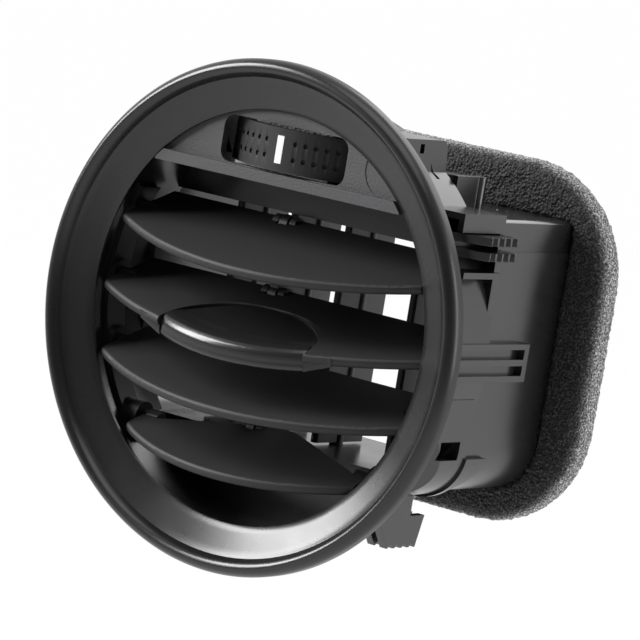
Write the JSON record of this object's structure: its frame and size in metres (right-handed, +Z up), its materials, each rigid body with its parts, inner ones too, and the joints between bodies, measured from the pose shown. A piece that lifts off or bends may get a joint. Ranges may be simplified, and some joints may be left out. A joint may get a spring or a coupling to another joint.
{
  "type": "dashboard air vent",
  "caption": "Round side air vent of a car dashboard: tilting slats with a handle, a thumbwheel that steers upright vanes, a rear duct with a foam seal and toothed clips.",
  "frame": {"origin": "centre of the bezel ring, in the plane of its outermost circle", "axes": "+X to the right seen from the cabin, +Y back into the dashboard along the air duct, +Z up"},
  "size_m": [0.11, 0.0653, 0.11],
  "materials": {
    "ring_satin": "satin",
    "panel_grained": "fine grain",
    "housing_gloss": "moulded, smooth",
    "slat_matte": "matte",
    "handle_satin": "satin",
    "mechanism_grey": "moulded",
    "wheel_black": "satin",
    "mark_white": "matte",
    "axle_steel": "turned",
    "seal_foam": "open-cell foam"
  },
  "bodies": {
    "housing": {"bezel_ring": "ring_satin", "control_panel": "panel_grained", "front_housing": "housing_gloss", "rear_duct": "housing_gloss", "foam_gasket": "seal_foam", "pivot_strip_left": "mechanism_grey", "pivot_strip_right": "mechanism_grey", "wheel_axle": "axle_steel", "retention_clip_right": "housing_gloss", "retention_clip_left": "housing_gloss", "retention_clip_lower_right": "housing_gloss", "retention_clip_lower_left": "housing_gloss"},
    "slat_1": {"slat_1": "slat_matte"},
    "slat_2": {"slat_2": "slat_matte", "handle_cap": "handle_satin"},
    "slat_3": {"slat_3": "slat_matte"},
    "slat_4": {"slat_4": "slat_matte"},
    "slat_link": {"slat_link": "mechanism_grey"},
    "thumbwheel": {"thumbwheel": "wheel_black", "index_mark": "mark_white"},
    "control_rod": {"control_rod": "mechanism_grey"},
    "vane_1": {"vane_1": "mechanism_grey"},
    "vane_2": {"vane_2": "mechanism_grey"},
    "vane_3": {"vane_3": "mechanism_grey", "vane_lever": "mechanism_grey"},
    "vane_4": {"vane_4": "mechanism_grey"},
    "vane_5": {"vane_5": "mechanism_grey"},
    "vane_link": {"vane_link": "mechanism_grey"}
  },
  "joints": [
    {"name": "slat_tilt", "type": "hinge", "parent": "housing", "child": "slat_2", "pos_m": [0, 0.0116, 0.0011], "axis": [-1, 0, 0], "range_deg": [-4, 28]},
    {"name": "slat_1_tilt", "type": "hinge", "parent": "housing", "child": "slat_1", "pos_m": [0, 0.0116, 0.0166], "axis": [-1, 0, 0], "range_deg": [-4, 28]},
    {"name": "slat_3_tilt", "type": "hinge", "parent": "housing", "child": "slat_3", "pos_m": [0, 0.0116, -0.0134], "axis": [-1, 0, 0], "range_deg": [-4, 28]},
    {"name": "slat_4_tilt", "type": "hinge", "parent": "housing", "child": "slat_4", "pos_m": [0, 0.0116, -0.0284], "axis": [-1, 0, 0], "range_deg": [-4, 28]},
    {"name": "slat_link_swing", "type": "hinge", "parent": "slat_2", "child": "slat_link", "pos_m": [-0.0065, 0.01854, 0.00367], "axis": [-1, 0, 0], "range_deg": [-28, 4]},
    {"name": "wheel_turn", "type": "hinge", "parent": "housing", "child": "thumbwheel", "pos_m": [0, 0.027, 0.0363], "axis": [0, 0, 1], "range_deg": [-25, 25]},
    {"name": "control_rod_swing", "type": "hinge", "parent": "thumbwheel", "child": "control_rod", "pos_m": [0.00436, 0.02029, 0.0334], "axis": [0, 0, 1], "range_deg": [-25, 25]},
    {"name": "vane_1_turn", "type": "hinge", "parent": "housing", "child": "vane_1", "pos_m": [-0.015, 0.04, 0], "axis": [0, 0, 1], "range_deg": [-25, 25]},
    {"name": "vane_2_turn", "type": "hinge", "parent": "housing", "child": "vane_2", "pos_m": [0, 0.04, 0], "axis": [0, 0, 1], "range_deg": [-25, 25]},
    {"name": "vane_3_turn", "type": "hinge", "parent": "housing", "child": "vane_3", "pos_m": [0.02, 0.04, 0], "axis": [0, 0, 1], "range_deg": [-25, 25]},
    {"name": "vane_4_turn", "type": "hinge", "parent": "housing", "child": "vane_4", "pos_m": [-0.03, 0.04, 0], "axis": [0, 0, 1], "range_deg": [-25, 25]},
    {"name": "vane_5_turn", "type": "hinge", "parent": "housing", "child": "vane_5", "pos_m": [0.033, 0.04, 0], "axis": [0, 0, 1], "range_deg": [-25, 25]},
    {"name": "vane_link_swing", "type": "hinge", "parent": "vane_2", "child": "vane_link", "pos_m": [0, 0.0465, -0.022], "axis": [0, 0, 1], "range_deg": [-25, 25]}
  ],
  "couplings": [
    {"joint": "slat_1_tilt", "follows": "slat_tilt", "ratio": 1},
    {"joint": "slat_3_tilt", "follows": "slat_tilt", "ratio": 1},
    {"joint": "slat_4_tilt", "follows": "slat_tilt", "ratio": 1},
    {"joint": "slat_link_swing", "follows": "slat_tilt", "ratio": -1},
    {"joint": "control_rod_swing", "follows": "wheel_turn", "ratio": -1},
    {"joint": "vane_1_turn", "follows": "wheel_turn", "ratio": 1},
    {"joint": "vane_2_turn", "follows": "wheel_turn", "ratio": 1},
    {"joint": "vane_3_turn", "follows": "wheel_turn", "ratio": 1},
    {"joint": "vane_4_turn", "follows": "wheel_turn", "ratio": 1},
    {"joint": "vane_5_turn", "follows": "wheel_turn", "ratio": 1},
    {"joint": "vane_link_swing", "follows": "wheel_turn", "ratio": -1}
  ]
}
